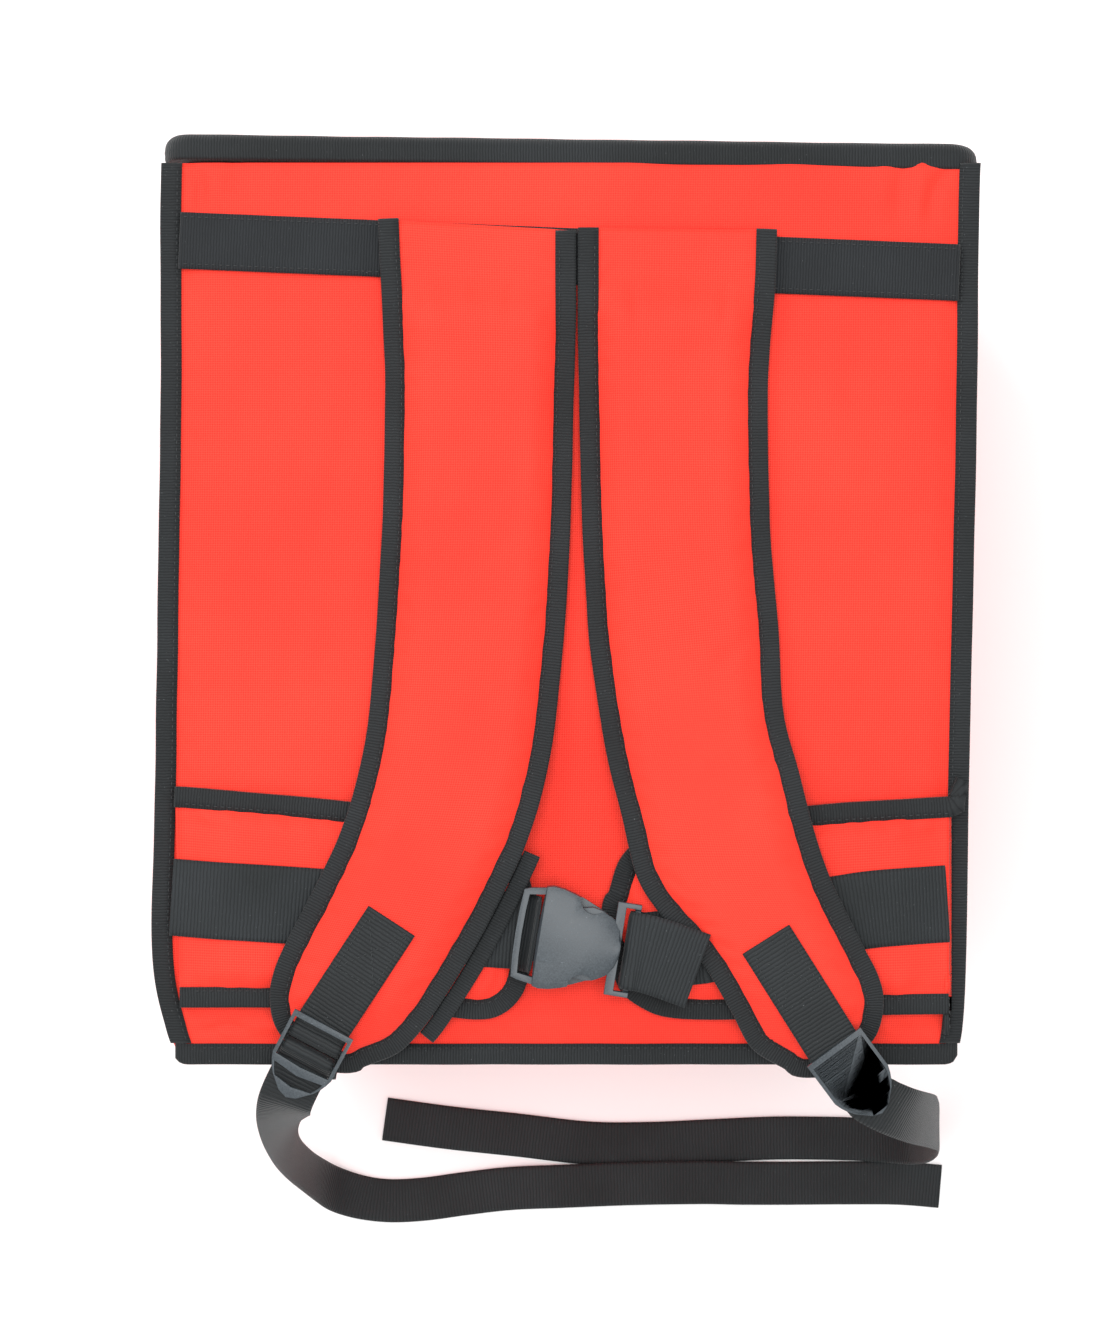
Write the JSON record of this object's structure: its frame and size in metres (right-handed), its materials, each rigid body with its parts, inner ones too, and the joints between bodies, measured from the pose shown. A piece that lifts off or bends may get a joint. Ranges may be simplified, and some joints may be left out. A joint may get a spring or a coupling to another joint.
{
  "type": "insulated delivery backpack",
  "caption": "Boxy padded insulated backpack with bound seams, lid, curved shoulder straps, waist belt with side-release buckle and webbing adjusters.",
  "frame": {"origin": "middle of the flat front face that the bag lies on", "axes": "+Z from the front panel up to the back panel with the straps, +Y from the bottom towards the lid, +X across the bag, to the right as the straps are looked at with the lid at the top"},
  "size_m": [0.4028, 0.557, 0.344],
  "materials": {
    "red_cloth": "woven polyester over foam padding",
    "black_tape": "folded grosgrain seam tape with fine cross ribs",
    "black_webbing": "flat ribbed webbing",
    "black_plastic": "moulded acetal with a fine spark texture"
  },
  "bodies": {
    "root": {"back_panel": "red_cloth", "front_panel": "red_cloth", "side_panel_left": "red_cloth", "side_panel_right": "red_cloth", "bottom_panel": "red_cloth", "lid_panel": "red_cloth", "lid_binding": "black_tape", "back_binding_left": "black_tape", "back_binding_right": "black_tape", "back_binding_bottom": "black_tape", "front_binding": "black_tape", "corner_binding_left": "black_tape", "corner_binding_right": "black_tape", "upper_band": "black_webbing", "waist_wing_left": "red_cloth", "waist_wing_right": "red_cloth", "wing_binding_left": "black_tape", "wing_binding_right": "black_tape", "wing_tape_left": "black_tape", "waist_webbing_left": "black_webbing", "waist_webbing_right": "black_webbing", "buckle_socket": "black_plastic", "buckle_prong": "black_plastic", "strap_left": "red_cloth", "strap_right": "red_cloth", "strap_binding_left": "black_tape", "strap_binding_right": "black_tape", "patch_left": "black_webbing", "patch_right": "black_webbing", "ladder_lock_left": "black_plastic", "ladder_lock_right": "black_plastic", "adjuster_left": "black_webbing", "adjuster_right": "black_webbing", "tail_left": "black_webbing", "tail_right": "black_webbing"}
  },
  "joints": []
}
